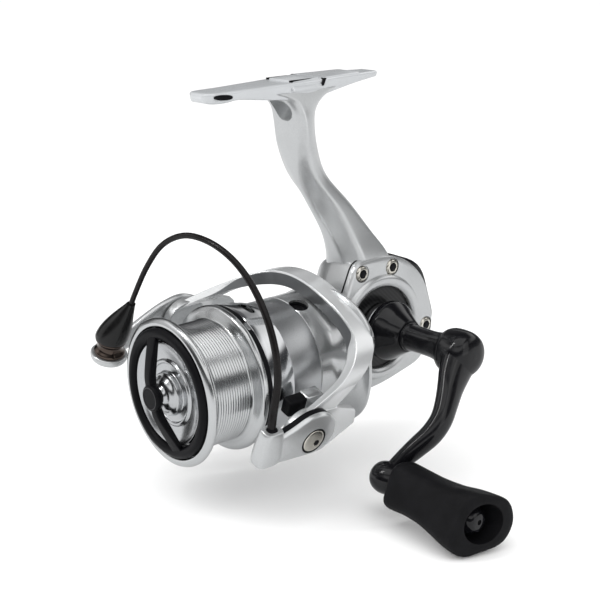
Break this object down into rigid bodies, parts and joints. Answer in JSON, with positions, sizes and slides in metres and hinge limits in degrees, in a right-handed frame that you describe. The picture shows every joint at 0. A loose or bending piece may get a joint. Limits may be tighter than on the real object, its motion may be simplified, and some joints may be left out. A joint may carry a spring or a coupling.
{
  "type": "spinning reel",
  "caption": "Front-drag spinning reel with a folding-style crank, bail wire with line roller, slotted spool skirt and a foot for a rod's reel seat.",
  "frame": {"origin": "middle of the foot's flat seat, on the top face that lies against the rod", "axes": "+Z from the spool to the foot, out of the seat; -Y along the spool axis to the front drag knob; +X to the handle side"},
  "size_m": [0.1175, 0.104, 0.1216],
  "materials": {
    "painted_body": "matte silver",
    "satin_aluminium": "satin",
    "polished_aluminium": "polished",
    "chrome": "polished",
    "steel": "machined",
    "black_metal": "gloss black",
    "dark_bronze": "polished dark",
    "black_plastic": "semi matte",
    "gloss_black_plastic": "gloss",
    "carbon_black": "woven",
    "grip_rubber": "soft touch",
    "brass": "machined",
    "washer_felt": "felt"
  },
  "bodies": {
    "frame": {"body_frame": "painted_body", "side_cover": "painted_body", "bearing_plate": "carbon_black", "rear_cover": "gloss_black_plastic", "rear_cover_screw": "black_metal", "case_screws": "steel", "handle_cap": "polished_aluminium", "drive_gear_bearings": "steel", "pinion_bearings": "steel", "bearing_retainer": "black_plastic", "clutch_housing": "steel", "clutch_rollers": "steel", "guide_rods": "steel"},
    "handle": {"drive_gear": "satin_aluminium", "drive_gear_shaft": "steel", "handle_collar": "gloss_black_plastic", "handle_shaft": "black_metal", "handle_arm": "black_metal", "knob_post": "steel"},
    "knob": {"knob_grip": "grip_rubber", "knob_bearings": "steel", "knob_cap": "gloss_black_plastic"},
    "cam_gear": {"oscillation_gear": "satin_aluminium"},
    "rotor_body": {"rotor": "painted_body", "rotor_ring": "satin_aluminium", "pinion_gear": "brass", "clutch_sleeve": "steel", "rotor_nut": "polished_aluminium", "nut_retainer": "black_plastic", "retainer_screw": "steel", "balance_screw": "black_metal", "bail_spring_cover": "black_plastic", "bail_spring": "steel", "spring_rod": "steel", "pivot_bolt_near": "steel", "pivot_bolt_far": "steel"},
    "bail": {"bail_holder": "painted_body", "bail_lever": "painted_body", "bail_wire": "black_metal", "line_cone": "black_metal", "roller_screw": "black_metal"},
    "roller": {"line_roller": "dark_bronze", "roller_bearing": "steel"},
    "shaft": {"main_shaft": "steel", "slider_block": "satin_aluminium", "spool_sleeve": "brass"},
    "spool_body": {"spool": "polished_aluminium", "line_clip": "chrome", "drag_washers": "washer_felt", "drag_retainer": "steel", "click_gear": "black_plastic"},
    "drag_control": {"drag_knob": "black_plastic", "drag_dish": "chrome", "drag_nut": "brass", "drag_spring": "steel"}
  },
  "joints": [
    {"name": "handle_crank", "type": "hinge", "parent": "frame", "child": "handle", "pos_m": [0, 0.0151, -0.07935], "axis": [1, 0, 0], "continuous": true},
    {"name": "knob_spin", "type": "hinge", "parent": "handle", "child": "knob", "pos_m": [0.043, -0.01449, -0.10999], "axis": [1, 0, 0], "continuous": true},
    {"name": "cam_turn", "type": "hinge", "parent": "frame", "child": "cam_gear", "pos_m": [0, 0.026, -0.0858], "axis": [1, 0, 0], "continuous": true},
    {"name": "rotor_spin", "type": "hinge", "parent": "frame", "child": "rotor_body", "pos_m": [0, -0.02, -0.0844], "axis": [0, 1, 0], "continuous": true},
    {"name": "bail_flip", "type": "hinge", "parent": "rotor_body", "child": "bail", "pos_m": [0, -0.033, -0.0844], "axis": [0.9397, 0, -0.342], "range_deg": [0, 118]},
    {"name": "roller_spin", "type": "hinge", "parent": "bail", "child": "roller", "pos_m": [-0.03098, -0.0583, -0.0777], "axis": [0.342, 0, 0.9397], "continuous": true},
    {"name": "spool_stroke", "type": "slide", "parent": "frame", "child": "shaft", "axis": [0, 1, 0], "range_m": [-0.001, 0.009]},
    {"name": "drag_slip", "type": "hinge", "parent": "shaft", "child": "spool_body", "pos_m": [0, -0.045, -0.0844], "axis": [0, 1, 0], "continuous": true},
    {"name": "drag_adjust", "type": "hinge", "parent": "shaft", "child": "drag_control", "pos_m": [0, -0.06, -0.0844], "axis": [0, 1, 0], "range_deg": [-170, 170]}
  ],
  "couplings": [
    {"joint": "rotor_spin", "follows": "handle_crank", "ratio": -5.2},
    {"joint": "cam_turn", "follows": "handle_crank", "ratio": -0.6}
  ]
}
